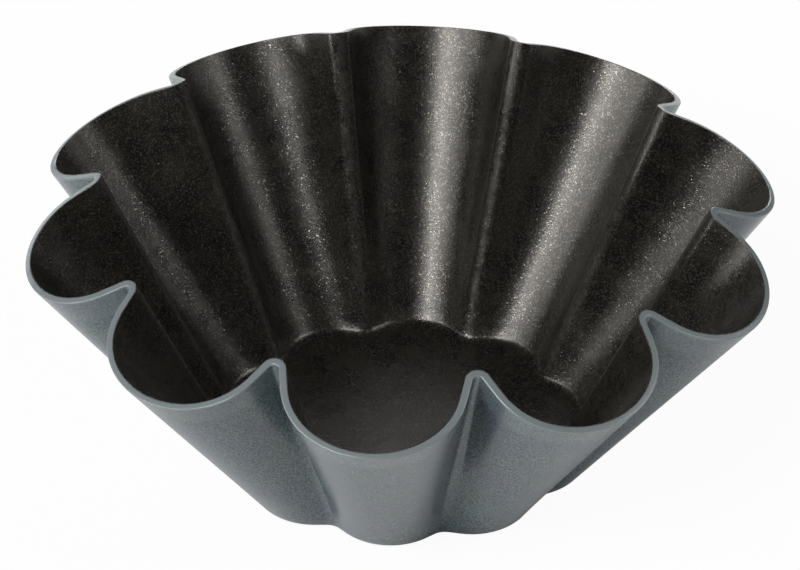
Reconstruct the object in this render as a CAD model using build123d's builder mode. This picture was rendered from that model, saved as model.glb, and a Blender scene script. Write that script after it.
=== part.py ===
from build123d import *
from math import atan, cos, degrees, hypot, radians, sin
import os

# A brioche mould for one small loaf: ten flutes pressed in a single round blank of thin steel.
# The outside is lacquered, and the lacquer turns over the cut edge. The inside has a non-stick film.
# The axis is +Z, the base stands on z = 0, and the crest of one flute points along -Y.
# Lengths are millimetres and angles are degrees.

# Flutes
flute_count = 10
first_crest_angle = -90

# Rim, on the lacquered outside: the edge of the blank stands higher in the valleys than on the crests
rim_valley_height = 31.0
rim_wave = 4.3
rim_crest_radius = 40.0
rim_flute_depth = 7.4

# Base, on the lacquered outside, where the lines of the wall would meet the table
base_crest_radius = 19.9
base_flute_depth = 1.65
base_corner_radius = 2.0

# Plan of one flute at the foot of the wall and at its mouth: the turn of its flank away from
# the flute's own axis, and the round of the valley beside it
foot_flank_turn = 42
foot_valley_round = 1.6
mouth_flank_turn = 88
mouth_valley_round = 0.45

# Layers of the wall, from the outside in
lacquer_thickness = 0.07
steel_thickness = 0.55
film_thickness = 0.06

# The flutes are drawn this far past the rim, and then trimmed
trim_allowance = 2.0

# Sections of the rounded corner, as shares of its turn
corner_section_shares = (0, 1 / 3, 2 / 3, 1)

# Lines of the wall, in plan per unit of height
rim_crest_height = rim_valley_height - rim_wave
rim_valley_radius = rim_crest_radius - rim_flute_depth
base_valley_radius = base_crest_radius - base_flute_depth
crest_slope = (rim_crest_radius - base_crest_radius) / rim_crest_height
valley_slope = (rim_valley_radius - base_valley_radius) / rim_valley_height

# The corner turns from the flat base up to the lean of the crests
lean = degrees(atan(crest_slope))
corner_turn = 90 - lean
foot_height = base_corner_radius * (1 - cos(radians(corner_turn)))
mouth_height = rim_valley_height + trim_allowance

# A dome through the rim's high and low points trims the flutes nearly square to the sheet
rise = rim_valley_height ** 2 - rim_crest_height ** 2
reach = rim_crest_radius ** 2 - rim_valley_radius ** 2
dome_centre_height = (rise - reach) / (2 * rim_wave)
dome_radius = hypot(rim_crest_radius, rim_crest_height - dome_centre_height)

# Depths of the faces between the layers, below the lacquered outside
steel_outer_depth = lacquer_thickness
steel_inner_depth = steel_outer_depth + steel_thickness
film_inner_depth = steel_inner_depth + film_thickness


def fluted_outline(height, flank_turn, valley_round, inset):
    """Plan of all the flutes where the wall crosses this height: round crest, straight flank, round valley."""
    crest_radius = base_crest_radius + crest_slope * height
    valley_centre_radius = base_valley_radius + valley_slope * height + valley_round
    half_pitch = 180 / flute_count
    # The crest's round is the one whose flank also touches the round of the valley
    flank_reach = valley_centre_radius * cos(radians(flank_turn - half_pitch)) - valley_round
    flank_share = cos(radians(flank_turn))
    crest_round = (flank_reach - crest_radius * flank_share) / (1 - flank_share)
    crests = []
    valleys = []
    for flute in range(flute_count):
        angle = first_crest_angle + flute * 2 * half_pitch
        centre = Vector(crest_radius - crest_round, 0).rotate(Axis.Z, angle)
        crests.append(CenterArc(centre, crest_round - inset, angle - flank_turn, 2 * flank_turn))
        centre = Vector(valley_centre_radius, 0).rotate(Axis.Z, angle + half_pitch)
        start = angle + flank_turn + 180
        valleys.append(CenterArc(centre, valley_round + inset, start, 2 * (half_pitch - flank_turn)))
    for flute in range(flute_count):
        Line(crests[flute] @ 1, valleys[flute] @ 0)
        Line(valleys[flute] @ 1, crests[(flute + 1) % flute_count] @ 0)


def fluted_form(depth):
    """Untrimmed solid inside the face that lies this depth below the lacquered outside."""
    corner_radius = base_corner_radius - depth
    with BuildPart() as form:
        for share in corner_section_shares:
            turn = radians(corner_turn * share)
            level = base_corner_radius - corner_radius * cos(turn)
            inset = base_corner_radius * sin(radians(corner_turn)) - corner_radius * sin(turn)
            with BuildSketch(Plane.XY.offset(level)):
                with BuildLine():
                    fluted_outline(foot_height, foot_flank_turn, foot_valley_round, inset)
                make_face()
        loft()
        with BuildSketch(Plane.XY.offset(level)):
            with BuildLine():
                fluted_outline(foot_height, foot_flank_turn, foot_valley_round, inset)
            make_face()
        with BuildSketch(Plane.XY.offset(mouth_height)):
            with BuildLine():
                mouth_inset = depth / cos(radians(lean))
                fluted_outline(mouth_height, mouth_flank_turn, mouth_valley_round, mouth_inset)
            make_face()
        loft(ruled=True)
    return form.part


lacquer_outside = fluted_form(0)
steel_outside = fluted_form(steel_outer_depth)
steel_inside = fluted_form(steel_inner_depth)
film_inside = fluted_form(film_inner_depth)

# Steel shell: the pressed blank, trimmed just under the lacquer that covers its edge
with BuildPart() as steel_shell:
    add(steel_outside)
    add(steel_inside, mode=Mode.SUBTRACT)
    with Locations((0, 0, dome_centre_height)):
        Sphere(dome_radius - lacquer_thickness, mode=Mode.INTERSECT)

# Non-stick film on the inside of the steel, up to the edge
with BuildPart() as nonstick_film:
    add(steel_inside)
    add(film_inside, mode=Mode.SUBTRACT)
    with Locations((0, 0, dome_centre_height)):
        Sphere(dome_radius, mode=Mode.INTERSECT)

# Lacquer on the outside, under the base and over the cut edge
with BuildPart() as outer_lacquer:
    add(lacquer_outside)
    with Locations((0, 0, dome_centre_height)):
        Sphere(dome_radius, mode=Mode.INTERSECT)
    add(steel_inside, mode=Mode.SUBTRACT)
    add(steel_shell.part, mode=Mode.SUBTRACT)

os.makedirs("parts", exist_ok=True)
steel_shell.part.label = "steel_shell"
nonstick_film.part.label = "nonstick_film"
outer_lacquer.part.label = "outer_lacquer"
export_step(steel_shell.part, "parts/steel_shell.step")
export_step(nonstick_film.part, "parts/nonstick_film.step")
export_step(outer_lacquer.part, "parts/outer_lacquer.step")
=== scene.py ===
from math import atan, cos, hypot, pi, radians, sin

import bpy
import numpy as np
from mathutils import Matrix, Vector


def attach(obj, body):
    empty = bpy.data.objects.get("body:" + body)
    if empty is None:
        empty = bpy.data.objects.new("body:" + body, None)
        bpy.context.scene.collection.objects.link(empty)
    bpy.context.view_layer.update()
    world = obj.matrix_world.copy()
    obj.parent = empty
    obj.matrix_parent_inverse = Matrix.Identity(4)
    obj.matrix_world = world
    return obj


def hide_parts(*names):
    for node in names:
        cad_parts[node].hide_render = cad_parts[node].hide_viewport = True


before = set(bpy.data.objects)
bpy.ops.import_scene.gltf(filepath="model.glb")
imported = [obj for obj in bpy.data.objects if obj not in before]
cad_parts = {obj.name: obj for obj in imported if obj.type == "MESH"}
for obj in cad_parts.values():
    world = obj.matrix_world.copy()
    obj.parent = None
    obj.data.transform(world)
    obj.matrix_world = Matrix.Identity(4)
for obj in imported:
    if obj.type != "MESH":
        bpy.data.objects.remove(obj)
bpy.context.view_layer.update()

# A small fluted brioche mould: slate lacquer outside and over the cut edge, and a dark flecked
# non-stick film inside. Metres and radians. The mould's axis is +Z, its base stands on z = 0, and
# the crest of the front flute points along -Y.

mm = 0.001

# Form, with the values of the solids
flute_count = 10
half_pitch = pi / flute_count
first_crest_angle = radians(-90)

rim_valley_height = 31.0 * mm
rim_wave = 4.3 * mm
rim_crest_radius = 40.0 * mm
rim_flute_depth = 7.4 * mm

base_crest_radius = 19.9 * mm
base_flute_depth = 1.65 * mm
base_corner_radius = 2.0 * mm

foot_flank_turn = radians(42)
foot_valley_round = 1.6 * mm
mouth_flank_turn = radians(88)
mouth_valley_round = 0.45 * mm
trim_allowance = 2.0 * mm

lacquer_thickness = 0.07 * mm
steel_thickness = 0.55 * mm
film_thickness = 0.06 * mm
steel_inside = lacquer_thickness + steel_thickness
film_inside = steel_inside + film_thickness

rim_crest_height = rim_valley_height - rim_wave
rim_valley_radius = rim_crest_radius - rim_flute_depth
base_valley_radius = base_crest_radius - base_flute_depth
crest_slope = (rim_crest_radius - base_crest_radius) / rim_crest_height
valley_slope = (rim_valley_radius - base_valley_radius) / rim_valley_height
lean = atan(crest_slope)
corner_turn = pi / 2 - lean
foot_height = base_corner_radius * (1 - cos(corner_turn))
mouth_height = rim_valley_height + trim_allowance

# The blank's edge lies on a dome through the rim's low and high points
rise = rim_valley_height ** 2 - rim_crest_height ** 2
reach = rim_crest_radius ** 2 - rim_valley_radius ** 2
dome_centre = (rise - reach) / (2 * rim_wave)
dome_radius = hypot(rim_crest_radius, rim_crest_height - dome_centre)

# Rounds on the corners of the lacquered edge, towards the outside and towards the film
outer_edge_round = 0.14 * mm
inner_edge_round = 0.08 * mm

# How far the edges of the layers lie under the dome: the steel's, which the lacquer covers, and
# the film's at its outside, middle and inside
steel_edge_drop = 0.09 * mm
film_outer_drop = 0.02 * mm
film_middle_drop = 0.01 * mm
film_inner_drop = 0.05 * mm

# How finely each half flute, each face and each corner of the edge is drawn
crest_steps = 18
flank_steps = 4
valley_steps = 10
floor_rows = 12
corner_rows = 10
wall_rows = 30
edge_steps = 5

# One more row of the wall lies this share of a row below the edge
last_row_gap = 0.04

# Halvings of the height in the search for the edge
search_steps = 40

CREST, FLANK, VALLEY = range(3)


def wall_radii(height):
    """Radius of the wall on the crests and in the valleys, at a height."""
    crest_radius = base_crest_radius + crest_slope * height
    valley_radius = base_valley_radius + valley_slope * height
    return crest_radius, valley_radius


def crest_round(crest_radius, valley_radius, valley_round, turn):
    """Round of a crest whose straight flank also touches the round of the valley."""
    flank_reach = (valley_radius + valley_round) * np.cos(turn - half_pitch) - valley_round
    return (flank_reach - crest_radius * np.cos(turn)) / (1 - np.cos(turn))


def flank_length(height, valley_round, turn):
    """Length of the straight flank between the two rounds."""
    crest_radius, valley_radius = wall_radii(height)
    centre = crest_radius - crest_round(crest_radius, valley_radius, valley_round, turn)
    return centre * sin(turn) - (valley_radius + valley_round) * sin(turn - half_pitch)


foot_flank = flank_length(foot_height, foot_valley_round, foot_flank_turn)
mouth_flank = flank_length(mouth_height, mouth_valley_round, mouth_flank_turn)


def all_stations():
    """Stretch, share of it, side and flute of each station, once round the mould."""
    half = [(CREST, k / crest_steps) for k in range(crest_steps)]
    half += [(FLANK, k / flank_steps) for k in range(flank_steps)]
    half += [(VALLEY, k / valley_steps) for k in range(valley_steps + 1)]
    rows = []
    for flute in range(flute_count):
        rows += [(stretch, share, -1, flute) for stretch, share in reversed(half[1:])]
        rows += [(stretch, share, 1, flute) for stretch, share in half[:-1]]
    return np.array(rows, float).T


STRETCH, SHARE, SIDE, FLUTE = all_stations()
STATIONS = len(STRETCH)


def on_circle(x, y, radius, turn):
    """Points at these turns round a centre."""
    return np.array((x + radius * np.cos(turn), y + radius * np.sin(turn)))


def outline(height, inset):
    """Plan points of every station at a height, this far inside the lacquered outside."""
    share = (height - foot_height) / (mouth_height - foot_height)
    crest_radius, valley_radius = wall_radii(height)
    valley_round = foot_valley_round + (mouth_valley_round - foot_valley_round) * share
    # Straight lines join the wall's foot and mouth, so its flank turns as their blend does
    foot_part = (1 - share) * foot_flank
    mouth_part = share * mouth_flank
    across = foot_part * sin(foot_flank_turn) + mouth_part * sin(mouth_flank_turn)
    along = foot_part * cos(foot_flank_turn) + mouth_part * cos(mouth_flank_turn)
    turn = np.arctan2(across, along)
    tip_round = crest_round(crest_radius, valley_radius, valley_round, turn)
    crest_centre = (crest_radius - tip_round, 0)
    crest = on_circle(*crest_centre, tip_round - inset, turn * SHARE)
    flank_start = on_circle(*crest_centre, tip_round - inset, turn)
    valley_x = (valley_radius + valley_round) * cos(half_pitch)
    valley_y = (valley_radius + valley_round) * sin(half_pitch)
    inward = -(valley_round + inset)
    flank_end = on_circle(valley_x, valley_y, inward, turn)
    flank = flank_start + (flank_end - flank_start) * SHARE
    valley = on_circle(valley_x, valley_y, inward, turn + (half_pitch - turn) * SHARE)
    x, y = np.select([STRETCH == CREST, STRETCH == FLANK], [crest, flank], valley)
    y = y * SIDE
    angle = first_crest_angle + FLUTE * 2 * half_pitch
    cosine, sine = np.cos(angle), np.sin(angle)
    return np.column_stack((x * cosine - y * sine, x * sine + y * cosine))


def wall(height, depth):
    """Points of the wall at each station's height, this deep below the lacquered outside."""
    return np.column_stack((outline(height, depth / cos(lean)), height))


def rim(depth, drop):
    """Points of the edge, this deep in the wall and this far under the dome."""
    low = np.full(STATIONS, rim_crest_height / 2)
    high = np.full(STATIONS, mouth_height + trim_allowance)
    for _ in range(search_steps):
        middle = (low + high) / 2
        points = wall(middle, depth)
        across = np.hypot(points[:, 0], points[:, 1])
        inside = np.hypot(across, middle - dome_centre) < dome_radius - drop
        low = np.where(inside, middle, low)
        high = np.where(inside, high, middle)
    return wall((low + high) / 2, depth)


def corner(share, depth):
    """Points of the rounded corner, from the flat (share 0) to the foot of the wall (share 1)."""
    turn = corner_turn * share
    radius = base_corner_radius - depth
    inset = base_corner_radius * sin(corner_turn) - radius * sin(turn)
    height = np.full(STATIONS, base_corner_radius - radius * cos(turn))
    return np.column_stack((outline(np.full(STATIONS, foot_height), inset), height))


def face(depth, edge):
    """Rows from the middle of the base to the points of the edge, along one face of a layer."""
    flat = corner(0, depth)
    rows = [flat * (k / floor_rows, k / floor_rows, 1) for k in range(1, floor_rows)]
    rows += [corner(k / corner_rows, depth) for k in range(corner_rows + 1)]
    foot = rows[-1]
    shares = [k / wall_rows for k in range(1, wall_rows)]
    # The row close to the edge keeps the wall's shading flat right up to it
    shares += [1 - last_row_gap / wall_rows, 1]
    return rows + [foot + (edge - foot) * share for share in shares]


def rounded_edge():
    """Rows over the lacquered edge, from the outside to the film, with both corners rounded."""
    rows = []
    for k in range(1, edge_steps + 1):
        turn = pi / 2 * k / edge_steps
        rows.append(rim(outer_edge_round * (1 - cos(turn)), outer_edge_round * (1 - sin(turn))))
    width = steel_inside - inner_edge_round - outer_edge_round
    for k in range(1, edge_steps):
        rows.append(rim(outer_edge_round + width * (k / edge_steps), 0))
    for k in range(edge_steps + 1):
        turn = pi / 2 * k / edge_steps
        depth = steel_inside - inner_edge_round * (1 - sin(turn))
        rows.append(rim(depth, inner_edge_round * (1 - cos(turn))))
    return rows


def layer(outer_depth, edge_rows, inner_depth):
    """Rows of a layer: up its outer face, over the rows of its edge and down its inner face."""
    up = face(outer_depth, edge_rows[0])
    down = face(inner_depth, edge_rows[-1])[-2::-1]
    return up + edge_rows[1:] + down


def new_object(name, data):
    """Object in the scene, at the origin."""
    made = bpy.data.objects.new(name, data)
    bpy.context.scene.collection.objects.link(made)
    return made


def closed_piece(name, rows, node):
    """Closed mesh from rows of points round the axis, with a point on the axis at each end."""
    bottom = np.array([[0, 0, rows[0][0, 2]]])
    top = np.array([[0, 0, rows[-1][0, 2]]])
    points = np.vstack([bottom] + rows + [top])
    faces = []
    last = len(points) - 1
    for k in range(STATIONS):
        following = (k + 1) % STATIONS
        faces.append((0, 1 + following, 1 + k))
        for row in range(len(rows) - 1):
            here = 1 + row * STATIONS
            above = here + STATIONS
            faces.append((here + k, here + following, above + following, above + k))
        faces.append((above + k, above + following, last))
    mesh = bpy.data.meshes.new(name)
    mesh.from_pydata(points.tolist(), [], faces)
    mesh.polygons.foreach_set("use_smooth", [True] * len(mesh.polygons))
    mesh.update()
    piece = new_object(name, mesh)
    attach(piece, "root")
    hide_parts(node)
    return piece


# The three layers
steel_edge = [rim(depth, steel_edge_drop) for depth in (lacquer_thickness, steel_inside)]
lacquer_edge = [rim(0, outer_edge_round)] + rounded_edge() + steel_edge[::-1]
film_edge = [
    rim(steel_inside, film_outer_drop),
    rim(steel_inside + film_thickness / 2, film_middle_drop),
    rim(film_inside, film_inner_drop),
]

lacquer_rows = layer(0, lacquer_edge, lacquer_thickness)
steel_rows = layer(lacquer_thickness, steel_edge, steel_inside)
film_rows = layer(steel_inside, film_edge, film_inside)

lacquer = closed_piece("lacquered_outside", lacquer_rows, "outer_lacquer")
steel = closed_piece("pressed_steel", steel_rows, "steel_shell")
film = closed_piece("nonstick_inside", film_rows, "nonstick_film")


def srgb(red, green, blue):
    """Linear colour from a colour on a 0 to 255 screen scale."""
    linear = []
    for part in (red / 255, green / 255, blue / 255):
        linear.append(part / 12.92 if part <= 0.04045 else ((part + 0.055) / 1.055) ** 2.4)
    return (*linear, 1)


class Material:
    """New material, with short ways to add its nodes.

    An input takes a value, or the output of another node.
    """

    # Values are spread over the first stretch of a noise, and colours over the second
    noise_range = (0.3, 0.7)
    tone_range = (0.35, 0.65)

    def __init__(self, name):
        self.data = bpy.data.materials.new(name)
        self.data.use_nodes = True
        self.tree = self.data.node_tree
        self.tree.nodes.clear()
        self.place = self.add("TexCoord").outputs["Object"]

    def add(self, kind, inputs=(), **settings):
        """Node with its settings, and with its inputs given by name or by number."""
        node = self.tree.nodes.new("ShaderNode" + kind)
        for name, value in settings.items():
            setattr(node, name, value)
        for key, value in dict(inputs).items():
            if isinstance(value, bpy.types.NodeSocket):
                self.tree.links.new(value, node.inputs[key])
            else:
                node.inputs[key].default_value = value
        return node

    def noise(self, scale, detail):
        """Noise on the piece's own coordinates."""
        inputs = {"Vector": self.place, "Scale": scale, "Detail": detail}
        return self.add("TexNoise", inputs).outputs[0]

    def number(self, operation, *terms):
        """Result of arithmetic on numbers."""
        return self.add("Math", enumerate(terms), operation=operation).outputs[0]

    def vector(self, operation, *terms):
        """Result of arithmetic on vectors."""
        return self.add("VectorMath", enumerate(terms), operation=operation).outputs["Vector"]

    def scaled(self, vector, scale):
        """Vector or colour times a number."""
        inputs = {0: vector, "Scale": scale}
        return self.add("VectorMath", inputs, operation="SCALE").outputs["Vector"]

    def distance(self, point):
        """Distance of the surface from a point of the piece's own coordinates."""
        inputs = {0: self.place, 1: point}
        return self.add("VectorMath", inputs, operation="DISTANCE").outputs["Value"]

    def mapped(self, value, source, target, kind="LINEAR"):
        """Value carried from one range to another, and held at their ends."""
        inputs = {
            "Value": value,
            "From Min": source[0],
            "From Max": source[1],
            "To Min": target[0],
            "To Max": target[1],
        }
        return self.add("MapRange", inputs, interpolation_type=kind).outputs[0]

    def tones(self, noise, low, high):
        """Colour that goes from low to high as a noise does."""
        node = self.add("ValToRGB", {0: noise})
        elements = node.color_ramp.elements
        for element, position, colour in zip(elements, self.tone_range, (low, high)):
            element.position = position
            element.color = colour
        return node.outputs[0]

    def spread(self, noise, target):
        """Value that goes over a range as a noise does."""
        return self.mapped(noise, self.noise_range, target)

    def mixed(self, share, first, second):
        """Colour between two colours."""
        # These sockets go by number, because others of the node have the same names
        inputs = {0: share, 6: first, 7: second}
        return self.add("Mix", inputs, data_type="RGBA").outputs[2]

    def bump(self, height, strength, distance, **over):
        """Normal of a bumpy surface, over the Normal of another bump if one is given."""
        inputs = {"Height": height, "Strength": strength, "Distance": distance, **over}
        return self.add("Bump", inputs).outputs[0]

    def principled(self, inputs):
        """Principled shader."""
        return self.add("BsdfPrincipled", inputs).outputs[0]

    def finished(self, surface):
        """The material, with this shader on its surface."""
        self.add("OutputMaterial", {"Surface": surface})
        return self.data


def slate_lacquer():
    """Satin slate coat with a fine grain, faint clouds of colour and a sprayed coat's orange peel.

    It is painted paler over the edge and in a faint ragged strip under it: a painted sheen on the
    edge and a painted highlight below it.
    """
    blue_slate = srgb(64, 74, 85)
    green_slate = srgb(65, 81, 81)
    # The paler colour over the edge and in the strip under it is a painted sheen
    painted_sheen_slate = srgb(108, 116, 118)
    # The grain darkens and lightens the tone by these shares
    grain_shares = (0.15, 1.85)
    grain_height = 0.03 * mm
    peel_height = 0.1 * mm
    # Borders of the painted sheen over the edge and of the strip's painted highlight, as depths
    # below the edge
    edge_sheen_border = (0.12 * mm, 0.3 * mm)
    strip_border = (3.4 * mm, 4.6 * mm)
    strip_wander = 1.2 * mm
    strip_highlight_share = 0.3

    slate = Material("slate_lacquer")
    clouds = slate.noise(scale=180, detail=4)
    grain = slate.noise(scale=4300, detail=2)
    peel = slate.noise(scale=700, detail=1)
    tone = slate.tones(clouds, blue_slate, green_slate)
    speckled = slate.scaled(tone, slate.spread(grain, grain_shares))
    below_edge = slate.number("SUBTRACT", dome_radius, slate.distance((0, 0, dome_centre)))
    ragged = slate.number("MULTIPLY_ADD", clouds, strip_wander, below_edge)
    # Painted sheen over the edge, and a painted highlight in the strip under it
    edge_sheen = slate.mapped(below_edge, edge_sheen_border, (1, 0), "SMOOTHSTEP")
    strip = slate.mapped(ragged, strip_border, (strip_highlight_share, 0), "SMOOTHSTEP")
    painted_sheen = slate.number("MAXIMUM", edge_sheen, strip)
    grain_bump = slate.bump(grain, strength=0.48, distance=grain_height)
    shader = slate.principled({
        "Base Color": slate.mixed(painted_sheen, speckled, painted_sheen_slate),
        "Roughness": 0.25,
        "IOR": 1.61,
        "Normal": slate.bump(peel, strength=0.07, distance=peel_height, Normal=grain_bump),
    })
    return slate.finished(shader)


def flecked_film():
    """Dark satin coat, with small metallic flakes that each lie at their own slight tilt.

    It is duller along the ridges between the flutes, where the die drew it, and painted paler
    there in broken lines, a painted highlight on the ridges.
    """
    dark_base = srgb(14, 14, 12)
    light_base = srgb(26, 25, 21)
    # Painted highlight: the paler colour of the broken lines along the ridges
    ridge_highlight_tone = srgb(38, 36, 33)
    flake_tone = srgb(101, 97, 91)
    warm_shine = (1.0, 0.96, 0.91, 1)
    roughness = (0.235, 0.32)
    drawn_roughness = 0.12
    wave_height = 0.1 * mm
    grain_height = 0.05 * mm
    # A cell of the coat holds a flake where its random share is over the first of these, and a
    # full flake where it is over the second
    flake_shares = (0.7, 0.93)
    full_flake = 0.85
    flake_tilt = 0.12
    # Borders of the rougher lines along the ridges, which carry the painted highlight: radians
    # from the ridge, and heights over the table
    ridge_border = (0.035, 0.078)
    ridge_wander = 0.09
    corner_border = (1.2 * mm, 2.2 * mm)

    dark = Material("flecked_film")
    mottle = dark.noise(scale=350, detail=4)
    waves = dark.noise(scale=130, detail=2)
    grain = dark.noise(scale=7000, detail=2)
    ridge_breakup = dark.noise(scale=1300, detail=3)

    cells = dark.add("TexVoronoi", {"Vector": dark.place, "Scale": 9000}).outputs
    random_share = dark.add("SeparateColor", {0: cells["Color"]}).outputs[0]
    flake = dark.mapped(random_share, flake_shares, (0, full_flake))
    toss = dark.add("TexWhiteNoise", {"Vector": cells["Position"]}).outputs["Color"]
    tilt = dark.vector("MULTIPLY_ADD", toss, (2 * flake_tilt,) * 3, (-flake_tilt,) * 3)
    wave_bump = dark.bump(waves, strength=0.8, distance=wave_height)
    grain_bump = dark.bump(grain, strength=0.4, distance=grain_height, Normal=wave_bump)
    tilted = dark.vector("ADD", grain_bump, dark.scaled(tilt, flake))

    apart = dark.add("SeparateXYZ", {0: dark.place}).outputs
    bearing = dark.number("ARCTAN2", apart["Y"], apart["X"])
    from_ridge = dark.number("ADD", bearing, -first_crest_angle - half_pitch)
    off_ridge = dark.number("PINGPONG", from_ridge, half_pitch)
    uneven = dark.number("MULTIPLY_ADD", ridge_breakup, ridge_wander, off_ridge)
    ridge = dark.mapped(uneven, ridge_border, (1, 0), "SMOOTHSTEP")
    above_corner = dark.mapped(apart["Z"], corner_border, (0, 1))
    ridge_rough_and_highlight = dark.number("MULTIPLY", ridge, above_corner)

    # Painted highlight along the ridges, where the coat is also rougher
    base = dark.mixed(ridge_rough_and_highlight, dark.tones(mottle, dark_base, light_base), ridge_highlight_tone)
    satin = dark.spread(mottle, roughness)
    shader = dark.principled({
        "Base Color": dark.mixed(flake, base, flake_tone),
        "Metallic": flake,
        "Roughness": dark.number("MULTIPLY_ADD", ridge_rough_and_highlight, drawn_roughness, satin),
        "IOR": 1.51,
        "Specular Tint": warm_shine,
        "Normal": dark.vector("NORMALIZE", tilted),
    })
    return dark.finished(shader)


def bare_steel():
    """Bare sheet under the coats, a little uneven in its gloss."""
    steel_tone = srgb(190, 190, 192)
    roughness = (0.3, 0.5)

    bare = Material("bare_steel")
    brushed = bare.noise(scale=2500, detail=3)
    shader = bare.principled({
        "Base Color": steel_tone,
        "Metallic": 1,
        "Roughness": bare.mapped(brushed, (0, 1), roughness),
    })
    return bare.finished(shader)


def pale_floor():
    """Matt pale floor, white to the camera and through glass, that keeps the mould's shadow.

    In reflections its white grows with the distance from the mould, from none beneath it.
    """
    floor_tone = (0.84, 0.84, 0.84, 1)
    seen_white = 0.95
    mirrored_white = 0.9
    # Distances from the mould's axis between which the mirrored white grows
    mirrored_border = (28 * mm, 60 * mm)

    pale = Material("pale_floor")
    ray = pale.add("LightPath").outputs
    away = pale.distance((0, 0, 0))
    mirrored = pale.mapped(away, mirrored_border, (0, mirrored_white), "SMOOTHSTEP")
    glossy = pale.number("MULTIPLY", ray["Is Glossy Ray"], mirrored)
    seen = pale.number("MAXIMUM", ray["Is Camera Ray"], ray["Is Transmission Ray"])
    share = pale.number("MULTIPLY_ADD", seen, seen_white, glossy)
    matt = pale.principled({
        "Base Color": floor_tone,
        "Roughness": 0.9,
        "Specular IOR Level": 0,
    })
    white = pale.add("Emission").outputs[0]
    return pale.finished(pale.add("MixShader", {0: share, 1: matt, 2: white}).outputs[0])


lacquer.data.materials.append(slate_lacquer())
film.data.materials.append(flecked_film())
steel.data.materials.append(bare_steel())

# Floor
floor_reach = 3.0
floor_gap = 0.02 * mm
corners = [(x * floor_reach, y * floor_reach, 0) for x, y in ((-1, -1), (1, -1), (1, 1), (-1, 1))]
floor_mesh = bpy.data.meshes.new("floor")
floor_mesh.from_pydata(corners, [], [(0, 1, 2, 3)])
floor_mesh.materials.append(pale_floor())
floor = new_object("floor", floor_mesh)
floor.location.z = -floor_gap

# World
ambient_colour = (0.95, 0.97, 1.0, 1)
ambient_strength = 0.02
world = bpy.data.worlds.new("studio")
bpy.context.scene.world = world
world.use_nodes = True
ambient = world.node_tree.nodes["Background"]
ambient.inputs["Color"].default_value = ambient_colour
ambient.inputs["Strength"].default_value = ambient_strength


def direction(azimuth, elevation):
    """Way out from the mould, at an angle from -Y towards +X, and at an angle above the floor."""
    level = cos(elevation)
    return Vector((sin(azimuth) * level, -cos(azimuth) * level, sin(elevation)))


# Lamps
lamp_distance = 1.0
lamp_aim_height = 18 * mm
lamp_aim = Vector((0, 0, lamp_aim_height))

# Name, azimuth and elevation in degrees, width and height in metres, and power in watts
softboxes = (
    ("key", -27, 44, 0.27, 0.4, 6.0),
    ("key_side", -49, 35, 0.35, 0.3, 2.4),
    ("front", -6, 42, 0.3, 0.3, 0.25),
    ("left", -76, 30, 0.4, 0.3, 1.8),
    ("left_side", -100, 26, 0.5, 0.3, 0.35),
    ("left_low", -60, 3, 0.4, 0.08, 2.3),
    ("right", 88, 40, 0.4, 0.3, 2.7),
    ("far_right", 118, 26, 0.3, 0.3, 0.8),
    ("far_left", -135, 12, 0.4, 0.2, 0.8),
    ("back", 178, 40, 0.4, 0.3, 0.55),
    ("behind", 180, 12, 0.6, 0.2, 3.2),
)
for name, azimuth, elevation, width, height, power in softboxes:
    way = direction(radians(azimuth), radians(elevation))
    lamp = bpy.data.lights.new(name, "AREA")
    lamp.shape = "RECTANGLE"
    lamp.size, lamp.size_y = width, height
    lamp.energy = power
    holder = new_object(name, lamp)
    holder.location = lamp_aim + way * lamp_distance
    holder.rotation_euler = (-way).to_track_quat("-Z", "Y").to_euler()

# Camera, fitted to the photograph: it is aimed at a point on the axis, rolled and moved aside
camera_azimuth = radians(4.98)
camera_elevation = radians(35.223)
camera_roll = radians(0.367)
camera_distance = 528.9 * mm
camera_near = 0.01
sensor_width = 36
aim_height = 24.54 * mm
shift_right = -0.386 * mm
shift_up = -4.016 * mm
focal_pixels = 5033.965
photo_width = 800
photo_height = 570
photo_centre_x = 400.0
photo_centre_y = 284.81

back = direction(camera_azimuth, camera_elevation)
level_right = Vector((cos(camera_azimuth), sin(camera_azimuth), 0))
level_up = back.cross(level_right)
right = level_right * cos(camera_roll) + level_up * sin(camera_roll)
up = level_up * cos(camera_roll) - level_right * sin(camera_roll)
aim = Vector((0, 0, aim_height))
position = aim + back * camera_distance + right * shift_right + up * shift_up

lens = bpy.data.cameras.new("camera")
lens.sensor_fit = "HORIZONTAL"
lens.sensor_width = sensor_width
lens.lens = focal_pixels * sensor_width / photo_width
lens.shift_x = (photo_width / 2 - photo_centre_x) / photo_width
lens.shift_y = (photo_centre_y - photo_height / 2) / photo_width
lens.clip_start = camera_near
camera = new_object("camera", lens)
turn = Matrix((right, up, back)).transposed().to_4x4()
camera.matrix_world = Matrix.Translation(position) @ turn
bpy.context.scene.camera = camera

bpy.context.scene.view_settings.view_transform = "Standard"
